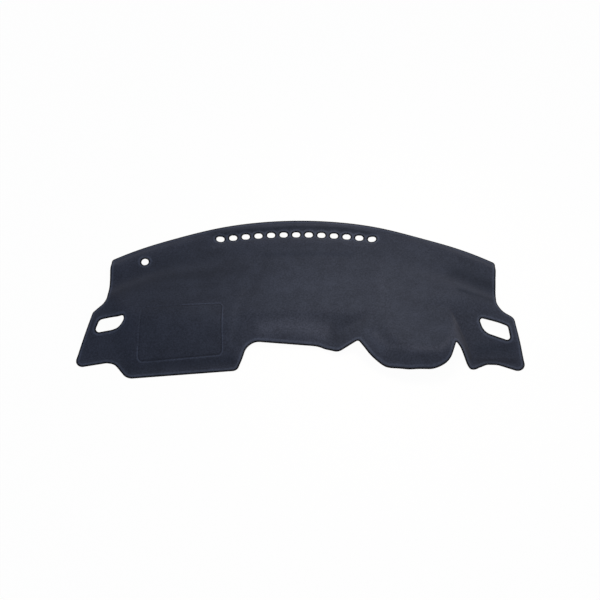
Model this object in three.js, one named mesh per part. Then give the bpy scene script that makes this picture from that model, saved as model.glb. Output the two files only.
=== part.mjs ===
// A moulded cover mat for a car's dashboard: one felt sheet formed to the dashboard's relief, with a row of
// defroster slots, two side vent holes and a sensor hole, and an overlocked edge around every cut.
// Millimetres. X points to the car's right, Y to the windscreen, Z up. The plan is drawn with its zero at the
// middle of the rear edge, and the finished mat is moved so that its origin is the middle of its underside.

import * as THREE from "three";

// Sheet and overlocked edge
const SHEET_THICKNESS = 4;
const OVERLOCK_WIDTH = 4.2;
const OVERLOCK_THICKNESS = 4;
const OVERLOCK_ROUNDING = 1.1;
const SEAT_GAP = 0.3;

// Rear edge, an arc whose middle is the zero of the plan, cut back a little at its two shoulders
const REAR_RADIUS = 1270;
const REAR_LEFT_X = -616;
const REAR_RIGHT_X = 637;
const REAR_CORNER_ROUNDING = 12;
const REAR_SHOULDER = { x: 407, width: 113, leftDepth: 4, rightDepth: 6.5 };

// Outline from the rear right corner around the front to the rear left corner: [x, y, rounding]
const RIGHT_WING = [
  [608, -364, 38],
  [666, -383, 17],
  [685, -568, 24],
  [599, -537, 60],
  [567, -536, 30],
  [540, -547, 30],
  [513, -562, 27],
];
const HOOD_EDGE = [
  [481, -505, 14],
  [465, -493, 6],
  [442, -554, 58],
  [401, -575, 95],
  [321, -575, 120],
  [254, -561, 111],
  [211, -526, 150],
  [175, -478, 9],
];
const CENTRE_EDGE = [
  [116, -503, 31],
  [57, -480, 120],
  [-158, -467, 47],
];
const PASSENGER_EDGE = [
  [-190, -556, 20],
  [-520, -583, 37],
];
const LEFT_WING = [
  [-563, -534, 36],
  [-588, -531, 30],
  [-688, -549, 22],
  [-644, -370, 12],
  [-602, -339, 37],
];

// Holes
const SLOT_COUNT = 13;
const SLOT_PITCH = 42;
const SLOT_LENGTH = 26.5;
const SLOT_WIDTH = 21.5;
const SLOT_ROW_MIDDLE_X = -12.6;
const SLOT_ROW_INSET = 59;
const SLOT_ROW_RADIUS = 1690;
const SENSOR_HOLE = { x: -503.5, y: -175.5, radius: 11.7 };
const RIGHT_VENT = [
  [549, -397, 7],
  [563, -439, 42],
  [644, -466, 10],
  [639, -419, 8],
];
const LEFT_VENT = [
  [-525, -399, 10],
  [-577, -392, 60],
  [-618, -400, 15],
  [-632, -440, 10],
  [-554, -426, 45],
];

// Pressed line over the passenger airbag
const AIRBAG_LINE = [
  [-240, -360, 12],
  [-479, -382, 12],
  [-491, -527, 12],
  [-238, -507, 12],
];
const AIRBAG_LINE_WIDTH = 4;
const AIRBAG_LINE_DEPTH = 0.8;

// Relief: heights and places of the forms that the mat takes from the dashboard
const PLATEAU_SLOPE = 0.2;
const END_EXTRA_SLOPE = 0.13;
const END_START_X = 180;
const END_FULL_X = 560;
const PLATEAU_TOP = 86;
const PLATEAU_SOFTNESS = 24;
const REAR_DROP = 6;
const REAR_LIP = { inset: 36, width: 24, height: 2, endHeight: 8 };
const TROUGH = { width: 36, depth: 3, endDepth: 9 };
const TROUGH_INSET = [[-600, 104], [-200, 140], [250, 140], [600, 128]];
const CHANNEL = { halfFloor: 15, wallWidth: 8, depth: 6.5, stripInset: 26, stripWidth: 14, stripHeight: 5 };
const CHANNEL_END_MARGIN = 10;
const CHANNEL_END_RUN = 32;

// Front roll: where each stretch of the front face would meet the ground, how steep it is and how softly it turns
const FRONT_FOOT = [[-585, -514], [-500, -533], [-215, -529], [-150, -500], [60, -498], [120, -482],
  [430, -490], [540, -520]];
const FRONT_SLOPE = [[-585, 0.31], [-490, 0.68], [-215, 0.68], [-150, 0.66], [60, 0.66], [120, 0.78],
  [430, 0.5], [540, 0.36]];
const FRONT_SOFTNESS = [[-560, 20], [-230, 22], [-150, 7], [60, 7], [200, 12], [540, 14]];
const SIDE_FALL = { beyondWing: 5, slope: 0.5, foot: 2, softness: 14 };
const PASSENGER_RIDGE = {
  x: -192,
  lean: 0.28,
  width: 22,
  height: 7,
  frontY: -560,
  frontRun: 40,
  backY: -250,
  backRun: 150,
};

// Instrument hood
const HOOD = {
  middleX: 357,
  halfWidth: 101,
  frontY: -534,
  backY: -120,
  leftRounding: 105,
  rightRounding: 50,
  leftFlank: 0.4,
  rightFlank: 1.0,
  drop: 1.15,
  edgeSoftness: 9,
  rise: 17,
  riseRun: 190,
  top: 104,
  topSoftness: 20,
  blend: 6,
};
const HOOD_DIP = { x: 352, y: -440, radius: 55, depth: 5 };

// How softly the underside meets the ground
const GROUND_SOFTNESS = 5;

// The straight part that is left between the round ends of a slot's short sides
const SLOT_END_FLAT = 0.4;

// Mesh fineness
const SENSOR_SIDES = 12;
const SLOPE_REACH = 0.5;
const EDGE_STEP = 28;
const EDGE_STEP_SLACK = 0.05;
const ARC_STEP = THREE.MathUtils.degToRad(24);
const SLOT_ARC_STEP = THREE.MathUtils.degToRad(36);
const GRID_STEP_X = 28;
const GRID_CLEARANCE = 7;
const GRID_ROWS = [12, 26, 38, 54, 70, 84, 98, 116, 136, 158, 182, 206, 230, 254, 278, 302, 324, 346, 366,
  384, 402, 420, 440, 458, 476, 494, 512, 530, 548, 566];

// Limits of the plan's triangulation: turns and sines that count as none, the bow of a straight run, the longest
// mitre, the smallest area of a triangle and the most points
const NO_TURN = 0.001;
const NO_SINE = 1e-4;
const ON_CIRCLE = 1e-6;
const RUN_BOW = 0.02;
const MITRE_FLOOR = 0.5;
const THIN_AREA = 0.01;
const MOST_POINTS = 100000;

// Smooth steps and joins

function stepBetween(start, end, value) {
  return THREE.MathUtils.smoothstep(value, start, end);
}

// Nothing below -softness, the value itself above softness, and a parabola between them
function softRamp(value, softness) {
  if (value <= -softness) return 0;
  if (value >= softness) return value;
  return (value + softness) ** 2 / (4 * softness);
}

function softMax(a, b, softness) {
  return b + softRamp(a - b, softness);
}

function softMin(a, b, softness) {
  return b - softRamp(b - a, softness);
}

function bump(offset, width) {
  return Math.exp(-((offset / width) ** 2));
}

// A value that changes smoothly from one station [x, value] to the next
function along(stations, x) {
  let value = stations[0][1];
  for (let i = 1; i < stations.length; i += 1) {
    const [fromX] = stations[i - 1];
    const [toX, toValue] = stations[i];
    value = THREE.MathUtils.lerp(value, toValue, stepBetween(fromX, toX, x));
  }
  return value;
}

// Height field

function rearInset(x, y) {
  return REAR_RADIUS - Math.hypot(x, y + REAR_RADIUS);
}

function rearY(x, inset = 0) {
  return Math.sqrt((REAR_RADIUS - inset) ** 2 - x ** 2) - REAR_RADIUS;
}

function slotRowY(x) {
  const run = x - SLOT_ROW_MIDDLE_X;
  return Math.sqrt(SLOT_ROW_RADIUS ** 2 - run ** 2) - SLOT_ROW_RADIUS - SLOT_ROW_INSET;
}

function plateau(x, inset) {
  const end = stepBetween(END_START_X, END_FULL_X, Math.abs(x));
  const slope = PLATEAU_SLOPE + END_EXTRA_SLOPE * end;
  let height = softMin(slope * inset - REAR_DROP, PLATEAU_TOP, PLATEAU_SOFTNESS);
  height += (REAR_LIP.height + REAR_LIP.endHeight * end) * bump(inset - REAR_LIP.inset, REAR_LIP.width);
  height -= (TROUGH.depth + TROUGH.endDepth * end) * bump(inset - along(TROUGH_INSET, x), TROUGH.width);
  return height;
}

function defrosterChannel(x, y, inset) {
  const halfRow = ((SLOT_COUNT - 1) * SLOT_PITCH + SLOT_LENGTH) / 2;
  const offset = Math.abs(x - SLOT_ROW_MIDDLE_X) - halfRow - CHANNEL_END_MARGIN;
  const inRow = 1 - stepBetween(-CHANNEL_END_RUN, 0, offset);
  const beyondFloor = Math.max(Math.abs(y - slotRowY(x)) - CHANNEL.halfFloor, 0);
  const strip = CHANNEL.stripHeight * bump(inset - CHANNEL.stripInset, CHANNEL.stripWidth);
  return inRow * (strip - CHANNEL.depth * bump(beyondFloor, CHANNEL.wallWidth));
}

function passengerRidge(x, y) {
  const { lean, width, height, frontY, frontRun, backY, backRun } = PASSENGER_RIDGE;
  const crestX = PASSENGER_RIDGE.x + lean * (y - frontY - frontRun);
  const fade = stepBetween(-backY, -backY + backRun, -y) * stepBetween(frontY, frontY + frontRun, y);
  return height * bump(x - crestX, width) * fade;
}

function instrumentHood(x, y, inset) {
  const left = x < HOOD.middleX;
  const rounding = left ? HOOD.leftRounding : HOOD.rightRounding;
  let sideways = Math.abs(x - HOOD.middleX) - HOOD.halfWidth;
  if (sideways > 0) sideways *= left ? HOOD.leftFlank : HOOD.rightFlank;
  const halfLength = (HOOD.backY - HOOD.frontY) / 2;
  const lengthways = Math.abs(y - HOOD.frontY - halfLength) - halfLength;
  const cornerX = Math.max(sideways + rounding, 0);
  const cornerY = Math.max(lengthways + rounding, 0);
  const inner = Math.min(Math.max(sideways + rounding, lengthways + rounding), 0);
  const outside = Math.hypot(cornerX, cornerY) + inner - rounding;
  const risen = stepBetween(-HOOD.backY, -HOOD.backY + HOOD.riseRun, inset);
  let crown = softMin(PLATEAU_SLOPE * inset - REAR_DROP + HOOD.rise * risen, HOOD.top, HOOD.topSoftness);
  crown -= HOOD_DIP.depth * bump(x - HOOD_DIP.x, HOOD_DIP.radius) * bump(y - HOOD_DIP.y, HOOD_DIP.radius);
  return crown - HOOD.drop * softRamp(outside, HOOD.edgeSoftness);
}

// The widest place of the wings
const wingReach = Math.max(...[...RIGHT_WING, ...LEFT_WING].map(([x]) => Math.abs(x)));

// Height of the sheet's middle surface over the ground
function surfaceHeight(x, y) {
  const inset = rearInset(x, y);
  let height = plateau(x, inset) + defrosterChannel(x, y, inset);
  const frontFace = along(FRONT_SLOPE, x) * (y - along(FRONT_FOOT, x));
  height = softMin(height, frontFace, along(FRONT_SOFTNESS, x));
  const sideFace = SIDE_FALL.slope * (wingReach + SIDE_FALL.beyondWing - Math.abs(x)) + SIDE_FALL.foot;
  height = softMin(height, sideFace, SIDE_FALL.softness);
  height += passengerRidge(x, y);
  if (y < HOOD.backY) height = softMax(height, instrumentHood(x, y, inset), HOOD.blend);
  return SHEET_THICKNESS / 2 + softRamp(height, GROUND_SOFTNESS);
}

// The place of a plan point that lies the given distance above the middle surface
function place(x, y, above) {
  const slopeX = (surfaceHeight(x + SLOPE_REACH, y) - surfaceHeight(x - SLOPE_REACH, y)) / (2 * SLOPE_REACH);
  const slopeY = (surfaceHeight(x, y + SLOPE_REACH) - surfaceHeight(x, y - SLOPE_REACH)) / (2 * SLOPE_REACH);
  const normal = new THREE.Vector3(-slopeX, -slopeY, 1).normalize();
  return new THREE.Vector3(x, y, surfaceHeight(x, y)).addScaledVector(normal, above);
}

// Outlines, all counterclockwise seen from above

// A closed loop through the corners, each turned with its rounding, with no side longer than the edge step
function roundedLoop(corners, arcStep = ARC_STEP) {
  const loop = [];
  const count = corners.length;
  corners.forEach(([x, y, rounding], index) => {
    const corner = new THREE.Vector2(x, y);
    const before = new THREE.Vector2(...corners[(index + count - 1) % count]).sub(corner).normalize();
    const after = new THREE.Vector2(...corners[(index + 1) % count]).sub(corner).normalize();
    const opening = Math.acos(THREE.MathUtils.clamp(before.dot(after), -1, 1));
    const turn = Math.PI - opening;
    if (!rounding || turn < NO_TURN) {
      loop.push(corner);
      return;
    }
    const middle = before.clone().add(after).normalize();
    const centre = corner.clone().addScaledVector(middle, rounding / Math.sin(opening / 2));
    const tangent = rounding / Math.tan(opening / 2);
    const start = corner.clone().addScaledVector(before, tangent).sub(centre);
    const side = Math.sign(before.cross(after)) || 1;
    const steps = Math.max(1, Math.ceil(Math.max(turn / arcStep, (turn * rounding) / EDGE_STEP)));
    for (let step = 0; step <= steps; step += 1) {
      const spoke = start.clone().rotateAround(new THREE.Vector2(), (-side * turn * step) / steps);
      loop.push(centre.clone().add(spoke));
    }
  });
  const full = [];
  loop.forEach((point, index) => {
    const next = loop[(index + 1) % loop.length];
    const parts = Math.max(1, Math.ceil(point.distanceTo(next) / EDGE_STEP - EDGE_STEP_SLACK));
    for (let part = 0; part < parts; part += 1) full.push(point.clone().lerp(next, part / parts));
  });
  return THREE.ShapeUtils.area(full) < 0 ? full.reverse() : full;
}

// The loop moved outwards by a distance, or inwards where it is negative
function offsetLoop(loop, distance) {
  const count = loop.length;
  return loop.map((point, index) => {
    const into = point.clone().sub(loop[(index + count - 1) % count]).normalize();
    const out = loop[(index + 1) % count].clone().sub(point).normalize();
    const normal = new THREE.Vector2(into.y + out.y, -into.x - out.x).normalize();
    const mitre = Math.max(normal.x * out.y - normal.y * out.x, MITRE_FLOOR);
    return point.clone().addScaledVector(normal, distance / mitre);
  });
}

function rearEdgeY(x) {
  const depth = x < 0 ? REAR_SHOULDER.leftDepth : REAR_SHOULDER.rightDepth;
  return rearY(x) - depth * bump(Math.abs(x) - REAR_SHOULDER.x, REAR_SHOULDER.width);
}

function matOutline() {
  const rear = [[REAR_LEFT_X, rearEdgeY(REAR_LEFT_X), REAR_CORNER_ROUNDING]];
  const steps = Math.round((REAR_RIGHT_X - REAR_LEFT_X) / EDGE_STEP);
  for (let step = 1; step < steps; step += 1) {
    const x = THREE.MathUtils.lerp(REAR_LEFT_X, REAR_RIGHT_X, step / steps);
    rear.push([x, rearEdgeY(x), 0]);
  }
  rear.push([REAR_RIGHT_X, rearEdgeY(REAR_RIGHT_X), REAR_CORNER_ROUNDING]);
  return roundedLoop([...rear, ...RIGHT_WING, ...HOOD_EDGE, ...CENTRE_EDGE, ...PASSENGER_EDGE, ...LEFT_WING]);
}

function slotOutline(index) {
  const x = SLOT_ROW_MIDDLE_X + (index - (SLOT_COUNT - 1) / 2) * SLOT_PITCH;
  const y = slotRowY(x);
  const halfLength = SLOT_LENGTH / 2;
  const halfWidth = SLOT_WIDTH / 2;
  const rounding = halfWidth - SLOT_END_FLAT / 2;
  return roundedLoop([
    [x - halfLength, y - halfWidth, rounding],
    [x + halfLength, y - halfWidth, rounding],
    [x + halfLength, y + halfWidth, rounding],
    [x - halfLength, y + halfWidth, rounding],
  ], SLOT_ARC_STEP);
}

function sensorOutline() {
  const { x, y, radius } = SENSOR_HOLE;
  const loop = [];
  for (let side = 0; side < SENSOR_SIDES; side += 1) {
    const angle = (side / SENSOR_SIDES) * 2 * Math.PI;
    loop.push(new THREE.Vector2(x + radius * Math.cos(angle), y + radius * Math.sin(angle)));
  }
  return loop;
}

// Triangulation of the plan

function cross(a, b, c) {
  return (b.x - a.x) * (c.y - a.y) - (b.y - a.y) * (c.x - a.x);
}

function inCircle(a, b, c, d) {
  const [ax, ay] = [a.x - d.x, a.y - d.y];
  const [bx, by] = [b.x - d.x, b.y - d.y];
  const [cx, cy] = [c.x - d.x, c.y - d.y];
  const lengths = [ax * ax + ay * ay, bx * bx + by * by, cx * cx + cy * cy];
  const areas = [bx * cy - by * cx, cx * ay - cy * ax, ax * by - ay * bx];
  const sum = lengths[0] * areas[0] + lengths[1] * areas[1] + lengths[2] * areas[2];
  return sum > ON_CIRCLE;
}

// The points of a straight run bend a little into the face, so that no triangle lies along the run
function bowed(loop, into) {
  const corners = loop.map((point, index) => {
    const before = loop[(index + loop.length - 1) % loop.length];
    const after = loop[(index + 1) % loop.length];
    const sine = cross(before, point, after) / (point.distanceTo(before) * after.distanceTo(point));
    return Math.abs(sine) > NO_SINE;
  });
  const shifts = loop.map((point, index) => {
    if (corners[index]) return 0;
    let back = 1;
    while (!corners[(index + loop.length * back - back) % loop.length]) back += 1;
    let ahead = 1;
    while (!corners[(index + ahead) % loop.length]) ahead += 1;
    return RUN_BOW * back * ahead;
  });
  return offsetLoop(loop, 1).map((shifted, index) => loop[index].clone().lerp(shifted, into * shifts[index]));
}

// Fills the area inside the contour and outside the holes with triangles through the inner points
function fillArea(points, contour, holes, inner) {
  const apexes = new Map();
  const key = (a, b) => a * MOST_POINTS + b;
  const add = (a, b, c) => {
    apexes.set(key(a, b), c);
    apexes.set(key(b, c), a);
    apexes.set(key(c, a), b);
  };
  const remove = (a, b, c) => {
    apexes.delete(key(a, b));
    apexes.delete(key(b, c));
    apexes.delete(key(c, a));
  };
  const legalise = (a, b, apex) => {
    const other = apexes.get(key(b, a));
    if (other === undefined) return;
    const area = (p, q, r) => cross(points[p], points[q], points[r]);
    const thinnest = Math.min(area(a, b, apex), area(b, a, other));
    const turned = Math.min(area(a, other, apex), area(other, b, apex));
    if (turned < THIN_AREA || (thinnest < THIN_AREA && turned < thinnest)) return;
    if (thinnest > THIN_AREA && !inCircle(points[a], points[b], points[apex], points[other])) return;
    remove(a, b, apex);
    remove(b, a, other);
    add(a, other, apex);
    add(other, b, apex);
    legalise(a, other, apex);
    legalise(other, b, apex);
  };
  const triangles = () => {
    const list = [];
    for (const [edge, c] of apexes) {
      const a = Math.floor(edge / MOST_POINTS);
      const b = edge % MOST_POINTS;
      if (a < b && a < c) list.push([a, b, c]);
    }
    return list;
  };
  const ids = [contour, ...holes].flat();
  const toPoints = (loop) => loop.map((id) => points[id]);
  const rims = [bowed(toPoints(contour), -1), ...holes.map((hole) => bowed(toPoints(hole), 1))];
  const rimPoints = rims.flat();
  for (const [a, b, c] of THREE.ShapeUtils.triangulateShape(rims[0], rims.slice(1))) {
    if (cross(rimPoints[a], rimPoints[b], rimPoints[c]) > 0) add(ids[a], ids[b], ids[c]);
    else add(ids[a], ids[c], ids[b]);
  }
  for (const [a, b, c] of triangles()) {
    for (const [from, to, apex] of [[a, b, c], [b, c, a], [c, a, b]]) {
      if (apexes.get(key(from, to)) === apex) legalise(from, to, apex);
    }
  }
  for (const id of inner) {
    const point = points[id];
    const home = triangles().find(([a, b, c]) =>
      cross(points[a], points[b], point) > 0
      && cross(points[b], points[c], point) > 0
      && cross(points[c], points[a], point) > 0);
    if (!home) continue;
    const [a, b, c] = home;
    remove(a, b, c);
    add(a, b, id);
    add(b, c, id);
    add(c, a, id);
    legalise(a, b, id);
    legalise(b, c, id);
    legalise(c, a, id);
  }
  return triangles();
}

function isInside(loop, point) {
  let inside = false;
  loop.forEach((a, index) => {
    const b = loop[(index + 1) % loop.length];
    if (a.y > point.y !== b.y > point.y && point.x < a.x + ((point.y - a.y) / (b.y - a.y)) * (b.x - a.x)) {
      inside = !inside;
    }
  });
  return inside;
}

function distanceTo(loop, point) {
  let nearest = Infinity;
  loop.forEach((a, index) => {
    const side = loop[(index + 1) % loop.length].clone().sub(a);
    const share = THREE.MathUtils.clamp(point.clone().sub(a).dot(side) / side.lengthSq(), 0, 1);
    nearest = Math.min(nearest, point.distanceTo(a.clone().addScaledVector(side, share)));
  });
  return nearest;
}

// Inner points of an area, on arcs that follow the rear edge
function gridPoints(contour, holes) {
  const box = new THREE.Box2().setFromPoints(contour);
  const found = [];
  GRID_ROWS.forEach((inset, row) => {
    const shift = row % 2 === 0 ? 0 : GRID_STEP_X / 2;
    for (let x = box.min.x + shift; x < box.max.x; x += GRID_STEP_X) {
      const point = new THREE.Vector2(x, rearY(x, inset));
      const loops = [contour, ...holes];
      const clear = loops.every((loop) => distanceTo(loop, point) > GRID_CLEARANCE);
      if (clear && isInside(contour, point) && !holes.some((hole) => isInside(hole, point))) found.push(point);
    }
  });
  return found;
}

// Solids

function solid(vertices, faces) {
  const geometry = new THREE.BufferGeometry();
  geometry.setAttribute("position", new THREE.Float32BufferAttribute(vertices.flatMap((v) => v.toArray()), 3));
  geometry.setIndex(faces.flat());
  geometry.computeVertexNormals();
  return geometry;
}

// The felt sheet: its upper face carries the pressed airbag line, and its edges stand square to it
function sheetGeometry(outline, holes) {
  const points = [];
  const dips = [];
  const addLoop = (loop, dip = 0) => loop.map((point) => {
    points.push(point);
    dips.push(dip);
    return points.length - 1;
  });
  const line = roundedLoop(AIRBAG_LINE);
  const lineOuter = offsetLoop(line, AIRBAG_LINE_WIDTH / 2);
  const lineInner = offsetLoop(line, -AIRBAG_LINE_WIDTH / 2);
  const outlineIds = addLoop(outline);
  const holeIds = holes.map((hole) => addLoop(hole));
  const lineIds = [addLoop(lineOuter), addLoop(line, AIRBAG_LINE_DEPTH), addLoop(lineInner)];
  const outerGrid = addLoop(gridPoints(outline, [...holes, lineOuter]));
  const innerGrid = addLoop(gridPoints(lineInner, []));
  const faces = [
    ...fillArea(points, outlineIds, [...holeIds, lineIds[0]], outerGrid),
    ...fillArea(points, lineIds[2], [], innerGrid),
  ];
  for (const [outer, inner] of [[lineIds[0], lineIds[1]], [lineIds[1], lineIds[2]]]) {
    outer.forEach((a, index) => {
      const next = (index + 1) % outer.length;
      faces.push([a, outer[next], inner[next]], [a, inner[next], inner[index]]);
    });
  }
  const half = SHEET_THICKNESS / 2;
  const upper = points.map((point, index) => place(point.x, point.y, half - dips[index]));
  const lower = points.map((point) => place(point.x, point.y, -half));
  const below = points.length;
  const all = faces.flatMap(([a, b, c]) => [[a, b, c], [a + below, c + below, b + below]]);
  for (const loop of [outlineIds, ...holeIds.map((hole) => [...hole].reverse())]) {
    loop.forEach((a, index) => {
      const b = loop[(index + 1) % loop.length];
      all.push([a, a + below, b + below], [a, b + below, b]);
    });
  }
  return solid([...upper, ...lower], all);
}

// The overlocked edge along a loop. Its section lies between the cut edge and the sheet, which is inside the
// loop for the outline and outside it for a hole.
function overlockGeometry(loop, towardsSheet) {
  const half = OVERLOCK_THICKNESS / 2;
  const width = OVERLOCK_WIDTH - SEAT_GAP;
  const section = [
    [0, half - OVERLOCK_ROUNDING],
    [OVERLOCK_ROUNDING, half],
    [width, half],
    [width, -half],
    [OVERLOCK_ROUNDING, -half],
    [0, -half + OVERLOCK_ROUNDING],
  ];
  const rings = section.map(([depth, above]) =>
    offsetLoop(loop, towardsSheet * depth).map((point) => place(point.x, point.y, above)));
  const count = loop.length;
  const faces = [];
  for (let ring = 0; ring < section.length; ring += 1) {
    const nextRing = (ring + 1) % section.length;
    for (let index = 0; index < count; index += 1) {
      const next = (index + 1) % count;
      const [a, b] = [ring * count + index, ring * count + next];
      const [c, d] = [nextRing * count + next, nextRing * count + index];
      if (towardsSheet < 0) faces.push([a, b, c], [a, c, d]);
      else faces.push([a, c, b], [a, d, c]);
    }
  }
  return solid(rings.flat(), faces);
}

// Materials
const velour = new THREE.MeshStandardMaterial({ color: 0x2e3239, roughness: 0.95, metalness: 0 });
const thread = new THREE.MeshStandardMaterial({ color: 0x16181f, roughness: 0.8, metalness: 0 });

// Assembly

function named(name, geometry, material) {
  const mesh = new THREE.Mesh(geometry, material);
  mesh.name = name;
  return mesh;
}

const cutouts = [
  ["left_vent_overlock", roundedLoop(LEFT_VENT)],
  ["right_vent_overlock", roundedLoop(RIGHT_VENT)],
  ["sensor_hole_overlock", sensorOutline()],
];
for (let index = 0; index < SLOT_COUNT; index += 1) {
  const number = String(index + 1).padStart(2, "0");
  cutouts.push([`defrost_slot_overlock_${number}`, slotOutline(index)]);
}
const outline = matOutline();
const sheetOutline = offsetLoop(outline, -OVERLOCK_WIDTH);
const sheetHoles = cutouts.map(([, loop]) => offsetLoop(loop, OVERLOCK_WIDTH));

const mat = new THREE.Group();
mat.name = "dashboard_mat";
mat.add(named("mat_sheet", sheetGeometry(sheetOutline, sheetHoles), velour));
mat.add(named("outer_edge_overlock", overlockGeometry(outline, -1), thread));
for (const [name, loop] of cutouts) mat.add(named(name, overlockGeometry(loop, 1), thread));

const box = new THREE.Box3().setFromObject(mat);
mat.position.set(-(box.min.x + box.max.x) / 2, -(box.min.y + box.max.y) / 2, -box.min.z);

export default mat;
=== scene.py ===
# A moulded velour cover mat for a car's dashboard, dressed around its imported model.
# The plan is drawn in millimetres, with its zero at the middle of the rear edge, X to the car's right and
# Y to the windscreen. Finished pieces are in metres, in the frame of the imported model.

import math

import bmesh
import bpy
import numpy as np
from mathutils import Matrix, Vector
from mathutils.geometry import delaunay_2d_cdt
from mathutils.kdtree import KDTree


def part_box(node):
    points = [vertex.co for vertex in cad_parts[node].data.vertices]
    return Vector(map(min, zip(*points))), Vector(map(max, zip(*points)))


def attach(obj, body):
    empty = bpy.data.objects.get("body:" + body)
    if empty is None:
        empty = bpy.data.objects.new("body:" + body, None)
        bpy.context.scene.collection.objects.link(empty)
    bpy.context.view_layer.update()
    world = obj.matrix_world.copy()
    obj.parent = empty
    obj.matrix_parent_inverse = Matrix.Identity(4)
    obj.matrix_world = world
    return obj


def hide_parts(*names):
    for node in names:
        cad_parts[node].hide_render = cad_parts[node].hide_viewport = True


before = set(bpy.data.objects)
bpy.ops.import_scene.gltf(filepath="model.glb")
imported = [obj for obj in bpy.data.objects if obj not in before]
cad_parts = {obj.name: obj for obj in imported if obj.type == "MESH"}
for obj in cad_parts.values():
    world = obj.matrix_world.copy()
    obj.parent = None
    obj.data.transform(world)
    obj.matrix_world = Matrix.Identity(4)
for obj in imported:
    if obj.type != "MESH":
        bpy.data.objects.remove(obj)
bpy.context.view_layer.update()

bl_info = {
    "name": "Dashboard cover mat",
    "version": (1, 0, 0),
    "blender": (4, 5, 0),
    "location": "View3D > Sidebar > Dashboard mat",
    "description": "Builds the velour sheet, the overlocked edges and the stage of a dashboard cover mat",
    "category": "Object",
}

MM = 0.001

# Sheet
SHEET_THICKNESS = 4.0

# Rear edge, an arc whose middle is the zero of the plan, cut back a little at its two shoulders
REAR_RADIUS = 1270.0
REAR_LEFT_X = -616.0
REAR_RIGHT_X = 637.0
REAR_CORNER_ROUNDING = 12.0
REAR_SHOULDER = {"x": 407, "width": 113, "left_depth": 4, "right_depth": 6.5}

# Outline from the rear right corner around the front to the rear left corner: (x, y, rounding)
RIGHT_WING = (
    (608, -364, 38),
    (666, -383, 17),
    (685, -568, 24),
    (599, -537, 60),
    (567, -536, 30),
    (540, -547, 30),
    (513, -562, 27),
)
HOOD_EDGE = (
    (481, -505, 14),
    (465, -493, 6),
    (442, -554, 58),
    (401, -575, 95),
    (321, -575, 120),
    (254, -561, 111),
    (211, -526, 150),
    (175, -478, 9),
)
CENTRE_EDGE = (
    (116, -503, 31),
    (57, -480, 120),
    (-158, -467, 47),
)
PASSENGER_EDGE = (
    (-190, -556, 20),
    (-520, -583, 37),
)
LEFT_WING = (
    (-563, -534, 36),
    (-588, -531, 30),
    (-688, -549, 22),
    (-644, -370, 12),
    (-602, -339, 37),
)

# Holes
SLOT_COUNT = 13
SLOT_PITCH = 42.0
SLOT_LENGTH = 26.5
SLOT_WIDTH = 21.5
# The straight part that is left between the round ends of a slot's short sides
SLOT_END_FLAT = 0.4
SLOT_ROW_MIDDLE_X = -12.6
SLOT_ROW_INSET = 59.0
SLOT_ROW_RADIUS = 1690.0
SENSOR_MIDDLE = (-503.5, -175.5)
SENSOR_RADIUS = 11.7
RIGHT_VENT = ((549, -397, 7), (563, -439, 42), (644, -466, 10), (639, -419, 8))
LEFT_VENT = (
    (-525, -399, 10),
    (-577, -392, 60),
    (-618, -400, 15),
    (-632, -440, 10),
    (-554, -426, 45),
)

# Pressed line over the passenger airbag
AIRBAG_LINE = ((-240, -360, 12), (-479, -382, 12), (-491, -527, 12), (-238, -507, 12))

# Relief: heights and places of the forms that the mat takes from the dashboard
PLATEAU_SLOPE = 0.2
END_EXTRA_SLOPE = 0.13
END_START_X = 180.0
END_FULL_X = 560.0
PLATEAU_TOP = 86.0
PLATEAU_SOFTNESS = 24.0
REAR_DROP = 6.0
REAR_LIP = {"inset": 36, "width": 24, "height": 2, "end_height": 8}
TROUGH = {"width": 36, "depth": 3, "end_depth": 9}
TROUGH_INSET = ((-600, 104), (-200, 140), (250, 140), (600, 128))
CHANNEL = {
    "half_floor": 15,
    "wall_width": 8,
    "depth": 6.5,
    "strip_inset": 26,
    "strip_width": 14,
    "strip_height": 5,
}
CHANNEL_END_MARGIN = 10.0
CHANNEL_END_RUN = 32.0
FRONT_FOOT = (
    (-585, -514), (-500, -533), (-215, -529), (-150, -500),
    (60, -498), (120, -482), (430, -490), (540, -520),
)
FRONT_SLOPE = (
    (-585, 0.31), (-490, 0.68), (-215, 0.68), (-150, 0.66),
    (60, 0.66), (120, 0.78), (430, 0.5), (540, 0.36),
)
FRONT_SOFTNESS = ((-560, 20), (-230, 22), (-150, 7), (60, 7), (200, 12), (540, 14))
SIDE_FALL = {"beyond_wing": 5, "slope": 0.5, "foot": 2, "softness": 14}
PASSENGER_RIDGE = {
    "x": -192,
    "lean": 0.28,
    "width": 22,
    "height": 7,
    "front_y": -560,
    "front_run": 40,
    "back_y": -250,
    "back_run": 150,
}
HOOD = {
    "middle_x": 357,
    "half_width": 101,
    "front_y": -534,
    "back_y": -120,
    "left_rounding": 105,
    "right_rounding": 50,
    "left_flank": 0.4,
    "right_flank": 1.0,
    "drop": 1.15,
    "edge_softness": 9,
    "rise": 17,
    "rise_run": 190,
    "top": 104,
    "top_softness": 20,
    "blend": 6,
}
HOOD_DIP = {"x": 352, "y": -440, "radius": 55, "depth": 5}
GROUND_SOFTNESS = 5.0


# Smooth steps and joins


def step_between(start, end, value):
    share = np.clip((value - start) / (end - start), 0, 1)
    return share * share * (3 - 2 * share)


def soft_ramp(value, softness):
    """Nothing below -softness, the value itself above softness, and a parabola between them."""
    eased = (value + softness) ** 2 / (4 * softness)
    return np.where(value <= -softness, 0, np.where(value >= softness, value, eased))


def soft_max(a, b, softness):
    return b + soft_ramp(a - b, softness)


def soft_min(a, b, softness):
    return b - soft_ramp(b - a, softness)


def bump(offset, width):
    return np.exp(-((offset / width) ** 2))


def along(stations, x):
    """A value that changes smoothly from one station (x, value) to the next."""
    value = stations[0][1]
    for (from_x, _), (to_x, to_value) in zip(stations, stations[1:]):
        value = value + (to_value - value) * step_between(from_x, to_x, x)
    return value


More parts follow.
